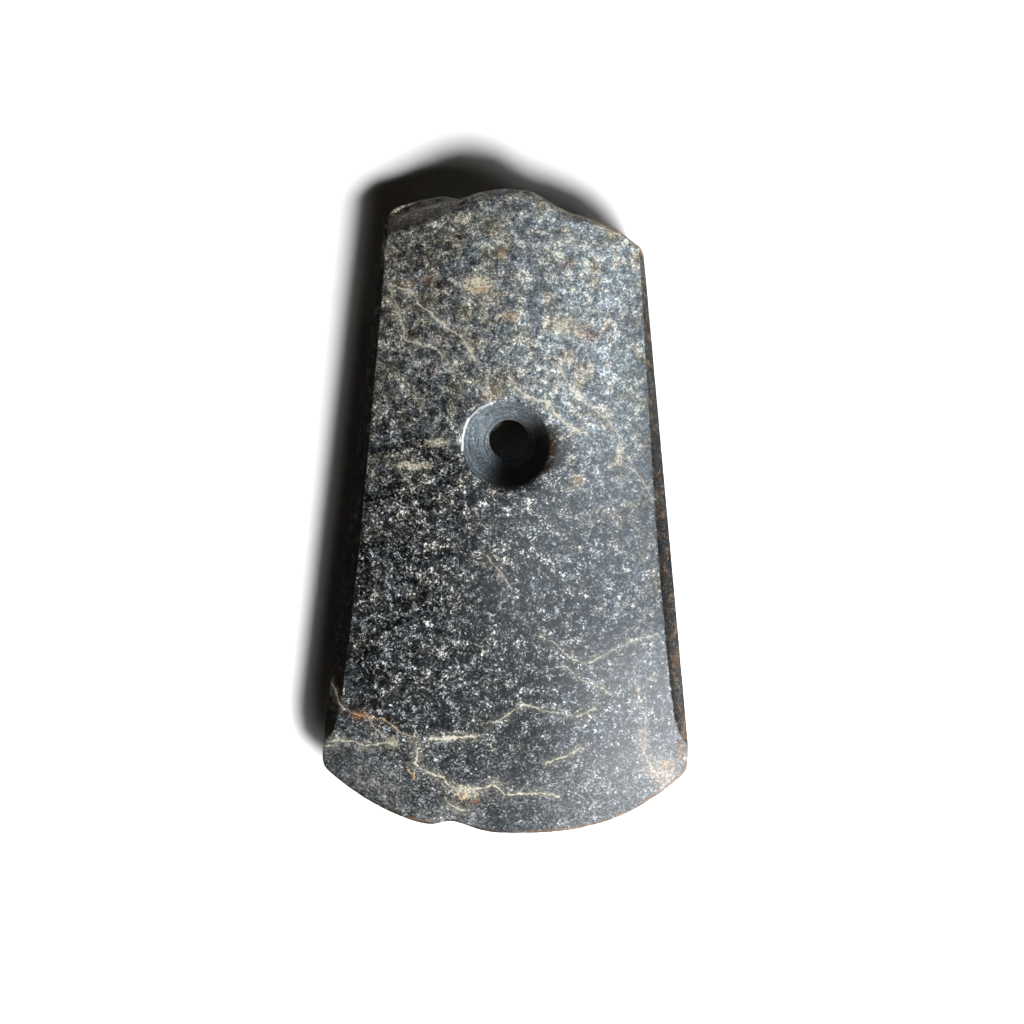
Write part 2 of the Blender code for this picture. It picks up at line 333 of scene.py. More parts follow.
def stoneTree(material, middle):
    tree = bpy.data.node_groups.new("groundStone", "GeometryNodeTree")
    tree.interface.new_socket("Geometry", in_out="OUTPUT", socket_type="NodeSocketGeometry")
    g = Graph(tree)
    inputs = {
        "Outline": None, "Front crown": axe["frontCrown"], "Back crown": axe["backCrown"],
        "Rest cut": axe["restCut"], "Crown share": axe["crownShare"],
        "Butt thinning": axe["buttThinning"], "Blade thinning": axe["bladeThinning"],
        "Bevel slope": axe["bevelSlope"], "Bevel wear": axe["bevelWear"],
        "Arris wear": axe["arrisWear"], "Edge half": axe["edgeHalf"], "Side half": axe["sideHalf"],
        "Butt half": axe["buttHalf"], "Front rim": hole["frontRim"], "Back rim": hole["backRim"],
        "Waist": hole["waist"], "Waist length": hole["waistLength"], "Around": weave["around"],
        "Rows": weave["rows"], "Swell": wear["swell"], "Break depth": wear["break"],
        "Nick depth": wear["nick"], "Seed": wear["seed"],
    }
    kinds = {type(None): "NodeSocketObject", int: "NodeSocketInt", float: "NodeSocketFloat"}
    for name, value in inputs.items():
        tree.interface.new_socket(name, in_out="INPUT", socket_type=kinds[type(value)])
    given = g.add("NodeGroupInput")
    size = {name: Wire(g, given.outputs[name]) for name in inputs}

    # A sheet of quads that wraps round the outline one way and through the hole the other
    sheet = g.add("GeometryNodeMeshGrid", None, {
        "Size X": 1.0, "Size Y": 1.0, "Vertices X": size["Around"] + 1, "Vertices Y": size["Rows"] + 1})
    u, v, _ = g.xyz(g.wire("GeometryNodeInputPosition"))
    column = g.math("MODULO", g.math("ROUND", (u + 0.5) * size["Around"]), size["Around"])
    side = 2 * v
    front = g.math("GREATER_THAN", side, 0.0)
    away = abs(side)
    guide = g.add("GeometryNodeObjectInfo", None, {"Object": size["Outline"]})
    guideShape = Wire(g, guide.outputs["Geometry"])

    def sampled(kind, value):
        return g.wire("GeometryNodeSampleIndex", {"data_type": kind},
                      {"Geometry": guideShape, "Value": value, "Index": column})

    def named(name):
        return g.wire("GeometryNodeInputNamedAttribute", {"data_type": "FLOAT"}, {"Name": name})

    outline = sampled("FLOAT_VECTOR", g.wire("GeometryNodeInputPosition"))
    square = sampled("FLOAT", named("squareDistance"))
    turn = sampled("FLOAT", named("rimTurn"))
    heading = g.joined(g.math("COSINE", turn), g.math("SINE", turn), 0.0)

    # How far each row has come along its section: band, ground face, funnel, waist
    band = g.ramp(away, 0.0, weave["bandEnd"])
    inset = g.ramp(away, weave["bandEnd"], weave["insetEnd"]) ** weave["insetPower"]
    inwards = g.ramp(away, weave["insetEnd"], weave["rimAt"])
    funnel = g.ramp(away, weave["rimAt"], weave["waistAt"])
    waistway = g.ramp(away, weave["waistAt"], 1.0)

    def between(a, b, share):
        return g.vector("ADD", a, g.scaled(g.vector("SUBTRACT", b, a), share))

    waistPlace = (hole["shift"], buttY() - hole["fromButt"], 0.0)
    lean = g.joined(front * -hole["leanLeft"], front * -hole["lean"], 0.0)
    mouth = g.vector("ADD", waistPlace, lean)
    rimRadius = size["Back rim"] + front * (size["Front rim"] - size["Back rim"])
    rim = g.vector("ADD", mouth, g.scaled(heading, rimRadius))
    throat = g.vector("ADD", waistPlace, g.scaled(heading, size["Waist"]))
    arm = g.vector("SUBTRACT", outline, waistPlace)
    edgeSide = g.vector("ADD", waistPlace, g.scaled(arm, 1 - weave["inset"] * inset / square))
    plan = between(between(edgeSide, rim, inwards), throat, funnel)
    x, y, _ = g.xyz(plan)
    crown = size["Back crown"] + front * (size["Front crown"] - size["Back crown"])
    height, below, facet = faceHeight(g, x, y, crown, front, size)
    rest = size["Back crown"] - size["Rest cut"]
    height = g.math("MINIMUM", height, rest + front)

    # The drilled wall: a straight funnel with faint rings, met by a worn rim
    rimX, rimY, _ = g.xyz(rim)
    rimHeight = faceHeight(g, rimX, rimY, crown, front, size)[0]
    rimHeight = rimHeight.least(rest + front)
    throatHeight = size["Waist length"] / 2
    rings = g.math("SINE", funnel * (2 * math.pi * wear["drillRings"])) * wear["drillRing"]
    wall = rimHeight + (throatHeight - rimHeight) * funnel + rings
    inFunnel = g.math("GREATER_THAN", funnel, 0.0)
    height = height + (wall - height) * inFunnel
    gap = g.vector("DISTANCE", plan, rim, out=1) / hole["rimWearSpread"]
    height = height - g.math("EXPONENT", 0 - gap * gap) * hole["rimWear"]
    height = height * band * (1 - waistway)
    z = rest + height * (2 * front - 1)

    # What each place is has to be noted while the sheet is flat, since it is read from there
    broken = g.step(below, 0.0, wear["breakReach"], 1.0, 0.0)
    shape = Wire(g, sheet.outputs["Mesh"])
    for name, value in (("facet", facet), ("drilled", funnel), ("broken", broken), ("inset", inset)):
        shape = g.wire("GeometryNodeStoreNamedAttribute", {"data_type": "FLOAT", "domain": "POINT"},
                       {"Geometry": shape, "Name": name, "Value": value})
    shape = g.wire("GeometryNodeSetPosition", None, {
        "Geometry": shape, "Position": g.joined(x - middle[0], y - middle[1], z)})
    shape = g.wire("GeometryNodeMergeByDistance", None, {
        "Geometry": shape, "Distance": weave["mergeGap"]})

    # Wear, always inwards: slow swells, the rough break, nicked arrises and single chips
    place = g.wire("GeometryNodeInputPosition")
    normal = g.wire("GeometryNodeInputNormal")
    shifted = g.vector("ADD", place, g.joined(size["Seed"], 0.0, 0.0))
    swell = g.noise(shifted, wear["swellScale"], 2) * size["Swell"] * (1 - named("drilled"))
    crag = g.noise(shifted, wear["breakScale"], 4, 0.6)
    ragged = g.step(crag, *wear["breakRange"]) * size["Break depth"] * named("broken")
    nick = g.noise(shifted, wear["nickScale"], 3, 0.6)
    nicks = g.step(nick, *wear["nickRange"]) * size["Nick depth"]
    arris = g.step(named("inset"), 0.0, wear["nickReach"], 1.0, 0.0)
    depth = swell + ragged + nicks * (arris * (1 - wear["nickLossOnBreak"] * named("broken")))
    middleHeight = axe["backCrown"] - axe["restCut"]
    for chipX, chipY, chipZ, radius in chips:
        centre = (chipX / 1000 - middle[0], chipY / 1000 - middle[1], middleHeight + chipZ / 1000)
        scoop = radius / 1000 - g.vector("DISTANCE", place, centre, out=1)
        depth = depth + scoop.most(0.0) * wear["chipShare"]
    thickness = g.step(named("inset"), 0.0, wear["thinReach"], wear["thinShare"], 1.0)
    resting = g.step(g.xyz(place)[2], *wear["restRange"])
    offset = g.scaled(normal, depth * thickness * resting * -1.0)
    shape = g.wire("GeometryNodeSetPosition", None, {"Geometry": shape, "Offset": offset})
    shape = g.wire("GeometryNodeSetShadeSmooth", None, {"Geometry": shape, "Shade Smooth": True})
    shape = g.wire("GeometryNodeRealizeInstances", None, {"Geometry": shape})
    shape = g.wire("GeometryNodeSetMaterial", None, {"Geometry": shape, "Material": material})
    result = g.add("NodeGroupOutput")
    tree.links.new(shape.socket, result.inputs["Geometry"])
    return tree, inputs


def bakedPiece(name, tree, values):
    # the tree's result as a plain mesh, with the modifier gone
    host = bpy.data.objects.new(name + "Host", bpy.data.meshes.new(name + "Host"))
    bpy.context.scene.collection.objects.link(host)
    modifier = host.modifiers.new(tree.name, "NODES")
    modifier.node_group = tree
    for item in tree.interface.items_tree:
        if item.item_type == "SOCKET" and item.in_out == "INPUT":
            modifier[item.identifier] = values[item.name]
    graph = bpy.context.evaluated_depsgraph_get()
    mesh = bpy.data.meshes.new_from_object(host.evaluated_get(graph), depsgraph=graph)
    mesh.name = name
    host.modifiers.remove(modifier)
    bpy.data.objects.remove(host)
    piece = bpy.data.objects.new(name, mesh)
    bpy.context.scene.collection.objects.link(piece)
    return piece


# Places in plan, in mm from the middle of the axe, of what marks its front face.
# Veins by tone: width, strength, points
veins = {
    "olive": (
        (0.9, 0.7, ((-32.0, -72.2), (-28.9, -74.0), (-25.6, -75.4))),
        (0.4, 0.6, ((-6.7, -54.0), (-3.3, -52.3))),
    ),
    "rust": (
        (0.5, 0.5, ((-23.8, -76.0), (-20.5, -77.0), (-17.2, -77.2))),
        (0.3, 0.4, ((-37.5, -49.2), (-34.6, -50.8), (-32.6, -52.0))),
    ),
    "tan": (
        (0.30, 0.7, ((-40.5, -48.0), (-38.4, -49.5), (-34.6, -50.6), (-29.8, -51.2), (-27.2, -52.9),
                     (-26.4, -54.0), (-23.5, -55.0), (-20.9, -55.5))),
        (0.42, 0.7, ((-24.1, -63.7), (-22.9, -65.2), (-22.6, -66.3))),
        (0.28, 0.3, ((36.5, -64.0), (40.5, -66.5), (43.5, -60.5))),
    ),
    "cream": (
        (0.34, 0.80, ((-30.2, 65.5), (-29.4, 62.1))),
        (0.42, 0.95, ((-28.2, 56.3), (-23.4, 54.4), (-21.2, 50.9), (-13.7, 45.1), (-11.0, 43.2),
                      (-7.0, 36.9))),
        (0.34, 0.45, ((-7.0, 36.9), (-3.8, 29.0))),
        (0.40, 0.65, ((-28.2, 54.9), (-25.4, 46.9), (-24.7, 42.2), (-21.7, 41.7), (-17.0, 39.9),
                      (-12.7, 35.7))),
        (0.55, 0.95, ((2.4, 30.7), (5.4, 28.2), (9.9, 26.7), (11.4, 25.5), (13.6, 22.5), (16.9, 20.3),
                      (19.8, 19.3))),
        (0.36, 0.75, ((12.9, 35.7), (15.6, 31.0), (18.3, 28.0), (25.6, 22.3), (27.8, 19.0))),
        (0.34, 0.45, ((27.8, 19.0), (27.8, 11.6), (31.5, 10.3), (37.0, 2.9))),
        (0.36, 0.55, ((-4.5, -10.6), (-1.8, -14.1), (1.7, -18.8))),
        (0.30, 0.65, ((9.1, -30.7), (12.1, -32.2), (15.6, -35.7), (20.3, -37.4), (30.3, -32.2),
                      (37.5, -30.0))),
        (0.26, 0.55, ((14.1, -37.9), (19.6, -41.4), (24.8, -43.9))),
        (0.34, 0.70, ((-42.8, -42.7), (-41.4, -46.6), (-40.5, -48.0))),
        (0.24, 0.85, ((-43.8, -56.9), (-41.2, -56.6), (-37.2, -56.7), (-35.5, -57.5), (-32.1, -57.6),
                      (-29.8, -56.9), (-28.7, -56.3))),
        (0.26, 0.60, ((-45.0, -58.0), (-41.6, -58.0))),
        (0.50, 0.50, ((-33.2, -52.6), (-30.4, -54.6), (-29.2, -56.3), (-27.5, -57.5))),
        (0.56, 0.95, ((-18.4, -56.0), (-15.2, -55.8), (-11.5, -55.4), (-7.2, -55.2))),
        (0.34, 0.60, ((-3.3, -52.3), (4.2, -47.4), (17.6, -50.4), (22.3, -48.4))),
        (0.40, 0.80, ((-21.5, -58.3), (-21.8, -60.3), (-22.1, -62.3), (-19.8, -63.7), (-17.0, -65.4),
                      (-14.9, -65.7), (-14.1, -67.5), (-12.7, -68.3))),
        (0.46, 0.80, ((-6.9, -68.3), (-4.7, -68.0), (-3.0, -67.3), (0.2, -70.0), (8.9, -69.3),
                      (12.9, -70.5))),
        (0.28, 0.60, ((-14.4, -71.7), (-12.7, -73.2), (-9.8, -74.3))),
        (0.44, 0.65, ((10.1, -62.1), (15.6, -60.1), (18.8, -58.3))),
        (0.26, 0.45, ((32.8, -42.7), (32.5, -47.4), (34.8, -50.6), (34.3, -60.1), (36.5, -64.0))),
    ),
}
# White marks on the rim of the hole, partly scuffs and partly a painted highlight along the left rim, which
# faces the lamps: width, strength, points
rimScuffHighlights = (
    (0.42, 0.95, ((-10.5, 15.0), (-10.4, 18.0), (-9.9, 20.5), (-9.0, 22.6))),
    (0.36, 0.5, ((-9.0, 22.6), (-6.4, 25.2), (-2.4, 27.0))),
)
# Patches: tone, middle, half sizes, strength
patches = (
    ("cream", (-6.8, 55.9), (4.0, 2.3), 1.5), ("tan", (-6.0, 54.9), (2.6, 1.0), 0.8),
    ("pale", (-14.6, 74.0), (1.6, 1.8), 1.2), ("cream", (-10.6, 71.6), (2.2, 0.9), 0.9),
    ("tan", (-1.1, 63.6), (1.1, 1.5), 0.7),
    ("tan", (23.1, 62.8), (0.9, 0.6), 0.6), ("tan", (17.8, 7.6), (1.7, 1.2), 0.5),
    ("tan", (1.6, 47.9), (2.4, 1.1), 0.65), ("cream", (15.0, 45.0), (3.4, 2.4), 0.95),
    ("rust", (20.5, 43.4), (3.0, 1.6), 0.35), ("tan", (27.3, 61.9), (1.1, 3.1), 0.45),
    ("rust", (-28.2, 72.0), (1.4, 2.6), 0.55), ("pale", (-13.3, 76.4), (2.4, 1.6), 0.85),
    ("tan", (-23.0, 73.5), (5.5, 2.4), 0.45), ("cream", (-17.0, 77.0), (4.4, 2.0), 0.6),
    ("olive", (-16.3, 67.8), (3.6, 2.6), 0.45), ("olive", (-8.8, 49.8), (3.0, 1.6), 0.4),
    ("rust", (15.0, 60.9), (2.6, 1.6), 0.25), ("rust", (-23.3, 56.2), (1.2, 1.2), 0.4),
    ("stainAndShade", (-1.9, 78.8), (2.4, 1.0), 0.6), ("rust", (-19.5, 57.1), (1.4, 1.2), 0.35),
    ("olive", (-20.1, 51.4), (2.6, 1.6), 0.6), ("olive", (5.5, -1.4), (2.4, 1.6), 0.6),
    ("stainAndShade", (12.2, 13.6), (2.4, 5.2), 0.85), ("ochre", (11.4, 16.8), (0.9, 2.6), 0.5),
    # The pale patches at (38.5, -64.2), (33.8, -56.5) and (41.0, -68.0) on the lower right corner are
    # partly painted sheen
    ("tan", (-3.2, 28.6), (3.4, 1.8), 0.35), ("pale", (38.5, -64.2), (3.4, 3.0), 0.85),
    ("tan", (40.2, -62.2), (1.4, 1.1), 0.6), ("pale", (33.8, -56.5), (1.6, 3.4), 0.5),
    ("cream", (-9.2, -69.3), (3.4, 1.9), 0.9), ("tan", (-10.2, -70.9), (1.5, 0.9), 0.8),
    ("olive", (-8.1, -69.8), (0.9, 0.5), 0.9), ("rust", (-7.4, -71.6), (1.5, 0.5), 0.6),
    ("stainAndShade", (-9.8, -72.7), (1.6, 0.6), 0.7), ("cream", (-27.5, -56.9), (1.7, 1.2), 0.6),
    ("pale", (-22.4, -56.0), (2.0, 1.7), 0.35), ("olive", (-22.9, -63.6), (1.6, 0.9), 0.6),
    ("cream", (-22.8, 11.2), (4.2, 1.0), 1.2), ("cream", (-16.4, 16.9), (3.0, 1.0), 1.1),
    ("cream", (27.9, 14.0), (0.8, 2.4), 0.95),
    ("rust", (-35.9, -50.3), (2.9, 1.2), 0.8), ("ochre", (43.6, -59.5), (1.6, 3.0), 0.6),
    ("ochre", (42.6, -36.0), (1.0, 2.0), 0.7), ("ochre", (44.4, -54.0), (0.8, 3.0), 0.7),
    ("cream", (7.0, 20.0), (3.0, 3.0), 0.3), ("pale", (41.0, -68.0), (3.0, 2.6), 0.6),
    ("cream", (18.0, 66.0), (4.0, 2.0), 0.3),
)
# Colours as they show in daylight, 0 to 255
tones = {
    "cream": (222, 216, 194), "tan": (212, 180, 136), "rust": (158, 104, 62),
    "ochre": (150, 122, 94), "pale": (214, 204, 194), "olive": (66, 62, 46),
    # stain serves both for real stains and as painted shade in and around the drilled hole
    "stainAndShade": (44, 32, 22), "patinaAndShade": (26, 21, 18), "fresh": (84, 72, 64),
    "drilled": (148, 162, 172), "groove": (46, 54, 62), "white": (232, 236, 240),
}
# Grain, tints and gloss. A scale is how many bumps to a millimetre; a level is added to the
# logarithm of the brightness, and a spread widens it
look = {
    "frontLevel": 9.4, "dip": (1.1, -0.8), "bend": 2.0, "bendScale": 0.28, "jitter": 0.8,
    "jitterScale": 1.3, "crystalScale": 2.1, "dustScale": 3.4, "softScale": 1.7, "cloudScale": 0.42,
    "mottleScale": 0.11, "earthScale": 0.2, "blotchScale": 0.45, "breakupScale": 0.9,
    "unevenScale": 0.55, "pitScale": 0.9, "grainJitter": 0.5,
    "crystalPart": 1.6, "dustPart": 2.0, "softPart": 3.2, "cloudParts": (3.0, 5.4, 0.8),
    "level": -2.85, "upperLevel": 0.35, "coarseLevel": -1.08, "leftLevel": -0.42,
    "lowRightLevel": -0.4, "highRightLevel": 0.7, "farRightLevel": 0.85, "bevelLevel": -0.3,
    "bevelLeftLevel": 0.45, "bevelRightLevel": 0.5, "paleLevel": 0.3, "mottleLevel": 1.2,
    "brokenLevel": 0.6, "brightest": 0.65,
    "spread": 0.88, "coarseSpread": 0.74, "leftSpread": 0.25, "brokenSpread": 0.5,
    "rightSpreads": (0.45, -0.1), "coarseMiddle": (-9.0, -24.0), "coarseHalf": (34, 46),
    "coarseRange": (0.65, 1.3), "warmRange": (0.40, 0.58),
    "cool": (0.85, 0.978, 1.10, 1.0), "warm": (1.06, 1.01, 0.90, 1.0), "neutral": (0.975, 1.0, 1.0, 1.0),
    # The haze and film below are painted sheen, added to the colour
    "hazeSheen": 0.028, "hazeSheenTint": (0.84, 0.98, 1.14), "filmSheen": 0.08, "filmSheenTint": (1.0, 0.99, 1.02),
    "greenTint": (0.92, 1.04, 0.86), "brownTint": (0.80, 0.72, 0.56),
    "ochreSpeck": 0.55, "halo": 0.2, "haloReach": (0.4, 2.4), "raggedParts": (3.4, 2.2, 0.8),
    "wallShade": 0.35, "wallPaintedShade": 0.62, "rimStainShade": 0.8, "rimStainShadeEnd": (10.6, 12.8),
    "daylight": 1.7, "polish": 0.25, "sheen": 0.30, "roughest": 0.85, "bevelRough": 0.24,
    "facetRough": 0.14, "drilledRough": 0.22, "brokenRough": 0.3, "crustRough": 0.9,
    "crustSheen": 0.03, "bump": 0.25, "bumpDepth": 0.0001,
}
# Stretches in mm over which a look comes or goes: up to tanRim along X, from bevelCloud on
# along Y, and from frontOnly on along Z
zones = {
    "left": (-40.0, 0.0), "right": (-12.0, 22.0), "farRight": (24.0, 38.0), "paleLeft": (-38.0, -26.0),
    "paleRight": (-14.0, 0.0), "hazeSheen": (-20.0, 30.0), "filmSheenSide": (4.0, 38.0), "tanRim": (8.0, 15.0),
    "bevelCloud": (-62.0, -48.0), "upperCloud": (-10.0, 40.0), "upper": (-30.0, 45.0),
    "rightRise": (-40.0, 38.0), "farRightFoot": (-20.0, 0.0), "farRightTop": (46.0, 64.0),
    "bevel": (-70.0, -56.0), "paleTop": (-4.0, 10.0), "edge": (-60.0, -55.0),
    "spreadRise": (-60.0, 20.0), "coolFoot": (-62.0, -20.0), "earthTop": (10.0, 60.0),
    "filmSheenFoot": (-74.0, -60.0), "filmSheenTop": (-44.0, -20.0), "green": (0.0, 40.0),
    "brown": (-40.0, 50.0), "keenTop": (-62.0, -57.0), "roughFoot": (-62.0, -38.0),
    "frontOnly": (12.0, 14.0), "tanRimHeight": (11.5, 13.0), "footHeight": (8.0, 11.0),
    "backFunnel": (8.8, 9.2),
}


def linear(name):
    # a tone as the shader's own light values
    def opened(value):
        share = value / 255
        return share / 12.92 if share <= 0.04045 else ((share + 0.055) / 1.055) ** 2.4
    return (*(opened(value) / look["daylight"] for value in tones[name]), 1.0)


def pathDistance(g, place, points):
    # distance from a line of straight stretches, in mm
    nearest = None
    for (ax, ay), (bx, by) in zip(points, points[1:]):
        run = (bx - ax, by - ay, 0.0)
        square = run[0] ** 2 + run[1] ** 2
        arm = g.vector("SUBTRACT", place, (ax, ay, 0.0))
        along = g.vector("DOT_PRODUCT", arm, (run[0] / square, run[1] / square, 0.0), out=1).clamped()
        gap = g.vector("LENGTH", g.vector("SUBTRACT", arm, g.scaled(run, along)), out=1)
        nearest = gap if nearest is None else nearest.least(gap)
    return nearest


def speckledStone():
    material = bpy.data.materials.new("speckledStone")
    material.use_nodes = True
    g = Graph(material.node_tree)
    shader = material.node_tree.nodes["Principled BSDF"]
    mm = g.scaled(g.wire("ShaderNodeTexCoord", out="Object"), 1000.0)
    x, y, z = g.xyz(mm)

    def trait(name):
        return g.wire("ShaderNodeAttribute", {"attribute_name": name}, out="Fac")

    facet, drilled, broken, inset = (trait(name) for name in ("facet", "drilled", "broken", "inset"))

    # Veins are sheets that lean through the stone, so the back shows them elsewhere
    under = (look["frontLevel"] - z).most(0.0)
    bend = g.noise(mm, look["bendScale"], 3, 0.6, "Color")
    jitter = g.noise(mm, look["jitterScale"], 2, 0.6, "Color")
    shift = g.vector("ADD", g.scaled(g.vector("SUBTRACT", bend, (0.5, 0.5, 0.5)), look["bend"]),
                     g.scaled(g.vector("SUBTRACT", jitter, (0.5, 0.5, 0.5)), look["jitter"]))
    flat = g.joined(x + under * look["dip"][0], y + under * look["dip"][1], 0.0)
    bent = g.vector("MULTIPLY", g.vector("ADD", flat, shift), (1.0, 1.0, 0.0))

    # Grains: crystals as cells of a chance brightness and finer dust between them. The logarithm
    # of the brightness spreads evenly, wider where the stone is coarse
    grainPlace = g.vector("ADD", mm, g.scaled(jitter, look["grainJitter"]))

    def cells(scale):
        texture = g.wire("ShaderNodeTexVoronoi", None, {"Vector": grainPlace, "Scale": scale}, "Color")
        node = g.add("ShaderNodeSeparateColor", None, {0: texture})
        return Wire(g, node.outputs[0]), Wire(g, node.outputs[1])

    crystal, hue = cells(look["crystalScale"])
    dust, _ = cells(look["dustScale"])
    soft = g.noise(mm, look["softScale"], 3, 0.65)
    cloud = g.noise(mm, look["cloudScale"], 3, 0.6)
    mottle = g.noise(mm, look["mottleScale"], 4, 0.55)
    earth = g.noise(mm, look["earthScale"], 4, 0.6)
    coarseReach = (1 / look["coarseHalf"][0], 1 / look["coarseHalf"][1], 0.0)
    coarseArm = g.vector("SUBTRACT", flat, (*look["coarseMiddle"], 0.0))
    coarseGap = g.vector("LENGTH", g.vector("MULTIPLY", coarseArm, coarseReach), out=1)
    coarse = g.step(coarseGap + (mottle - 0.5), *look["coarseRange"], 1.0, 0.0)
    edgeCloud, bodyCloud, upperCloud = look["cloudParts"]
    cloudy = g.step(y, *zones["bevelCloud"], edgeCloud, bodyCloud)
    cloudy = cloudy + g.step(y, *zones["upperCloud"], 0.0, upperCloud)
    grain = look["crystalPart"] * (crystal - 0.5) + look["dustPart"] * (dust - 0.5)
    grain = grain + look["softPart"] * (soft - 0.5) + cloudy * (cloud - 0.5)
    leftwards = g.step(x, *zones["left"], 1.0, 0.0)
    rightwards = g.step(x, *zones["right"])

    # How bright each part of the stone is, and how far its grains differ
    level = look["level"] + g.step(y, *zones["upper"], 0.0, look["upperLevel"])
    level = level + look["coarseLevel"] * coarse + look["leftLevel"] * leftwards
    level = level + rightwards * g.step(
        y, *zones["rightRise"], look["lowRightLevel"], look["highRightLevel"])
    duller = look["farRightLevel"] * g.step(x, *zones["farRight"]) * g.step(y, *zones["farRightFoot"])
    level = level - duller * g.step(y, *zones["farRightTop"], 1.0, 0.0)
    onBevel = look["bevelLevel"] + look["bevelLeftLevel"] * leftwards
    onBevel = onBevel + look["bevelRightLevel"] * rightwards
    level = level + g.step(y, *zones["bevel"], 1.0, 0.0) * onBevel
    paler = g.step(x, *zones["paleLeft"]) * g.step(x, *zones["paleRight"], 1.0, 0.0)
    level = level + look["paleLevel"] * (paler * g.step(y, *zones["paleTop"], 1.0, 0.0))
    level = level + look["mottleLevel"] * (mottle - 0.5) + look["brokenLevel"] * broken
    fine = g.step(y, *zones["edge"], 1.0, 0.0)
    spread = look["spread"] + look["coarseSpread"] * coarse
    spread = spread + (look["leftSpread"] - look["leftSpread"] * fine) * leftwards
    spread = spread + look["brokenSpread"] * broken
    rightSpread = rightwards * g.step(y, *zones["spreadRise"], *look["rightSpreads"])
    spread = spread + rightSpread * (1 - 0.5 * fine)
    value = g.math("EXPONENT", level + spread * grain).least(look["brightest"])

    # Bluish or earthy tints, then painted sheen added to the colour: a milky haze growing to the right and
    # a film on the polished lower right
    earthy = 0.6 * earth + 0.3 * cloud + 0.1 * hue - 0.06 * rightwards - 0.05 * coarse
    earthy = earthy - g.step(y, *zones["coolFoot"], 0.06, 0.0)
    earthy = earthy + 0.04 * leftwards * g.step(y, *zones["earthTop"]) + 0.03 * grain
    tint = g.mixed(g.step(earthy, *look["warmRange"]), look["cool"], look["warm"])
    tint = g.mixed(0.5 * coarse.most(fine), tint, look["neutral"])
    paintedHazeSheen = g.step(x, *zones["hazeSheen"], 0.0, look["hazeSheen"])
    paintedFilmSheen = g.step(y, *zones["filmSheenFoot"], 0.6, 1.0) * g.step(y, *zones["filmSheenTop"], 1.0, 0.0)
    paintedFilmSheen = paintedFilmSheen * g.step(x, *zones["filmSheenSide"], 0.0, look["filmSheen"])
    colour = g.vector("ADD", g.scaled(tint, value), g.scaled(look["hazeSheenTint"], paintedHazeSheen))
    colour = g.vector("ADD", colour, g.scaled(look["filmSheenTint"], paintedFilmSheen))
    greenish = g.step(mottle, 0.42, 0.62) * g.step(y, *zones["green"], 0.1, 0.6)
    colour = g.mixed(greenish * 0.5, colour, g.vector("MULTIPLY", colour, look["greenTint"]))
    brownish = g.step(earth + 0.4 * (soft - 0.5), 0.54, 0.64) * g.step(y, *zones["brown"], 0.15, 0.5)
    colour = g.mixed(brownish, colour, g.vector("MULTIPLY", colour, look["brownTint"]))

    # Brown patina on the side facets, rusty in places. It is also painted shade: it covers the left facet,
    # which faces away from the lamps, more fully
    blotch = g.noise(mm, look["blotchScale"], 4, 0.6)
    facet = g.step(facet + 0.9 * (soft - 0.5) + (cloud - 0.5) - 0.15 * rightwards, 0.35, 0.65)
    outer = g.step(inset + 0.5 * (cloud - 0.5), 0.05, 0.4, 1.0, 0.0) * rightwards
    facetPatinaShade = facet * g.step(blotch + 0.4 * (soft - 0.5), 0.28, 0.5, 0.8, 0.97) * (1 - 0.2 * outer)
    colour = g.mixed(facetPatinaShade, colour, linear("patinaAndShade"))
    speck = g.step(blotch + 0.5 * (soft - 0.5), 0.52, 0.66) * outer
    colour = g.mixed(facet * speck * look["ochreSpeck"], colour, linear("ochre"))

    # Veins and patches, whose edges and tones follow the grain
    breakup = g.step(g.noise(mm, look["breakupScale"], 3, 0.65), 0.38, 0.52, 0.25, 1.0)
    uneven = 0.7 + 1.4 * g.step(g.noise(mm, look["unevenScale"], 2, 0.6), 0.35, 0.7)
    lively = g.step(grain, -1.2, 1.0, 0.4, 1.0)
    shade = g.step(grain, -2.2, 1.4, 0.6, 1.1)
    cover = None
    softPart, cloudPart, mottlePart = look["raggedParts"]
    ragged = (soft - 0.5) * softPart + (cloud - 0.5) * cloudPart + (mottle - 0.5) * mottlePart
    for tone, (px, py), (rx, ry), strength in patches:
        reach = g.vector("MULTIPLY", g.vector("SUBTRACT", bent, (px, py, 0.0)), (1 / rx, 1 / ry, 0.0))
        gap = g.vector("LENGTH", reach, out=1) + ragged
        part = g.step(gap, 0.5, 1.15, strength, 0.0)
        colour = g.mixed(part * lively, colour, linear(tone))
        cover = part if cover is None else cover.most(part)
    colour = g.scaled(colour, 1 - cover * (1 - shade))
    for tone, group in veins.items():
        line = None
        halo = None
        for width, strength, points in group:
            gap = pathDistance(g, bent, points) * uneven
            core = g.step(gap, width * 0.35, width * 0.8, strength, 0.0)
            line = core if line is None else line.most(core)
            if tone == "cream":
                wide = g.step(gap, *look["haloReach"], strength, 0.0)
                halo = wide if halo is None else halo.most(wide)
        if halo:
            colour = g.mixed(halo * look["halo"] * lively, colour, linear("cream"))
        colour = g.mixed(line * breakup, colour, linear(tone))
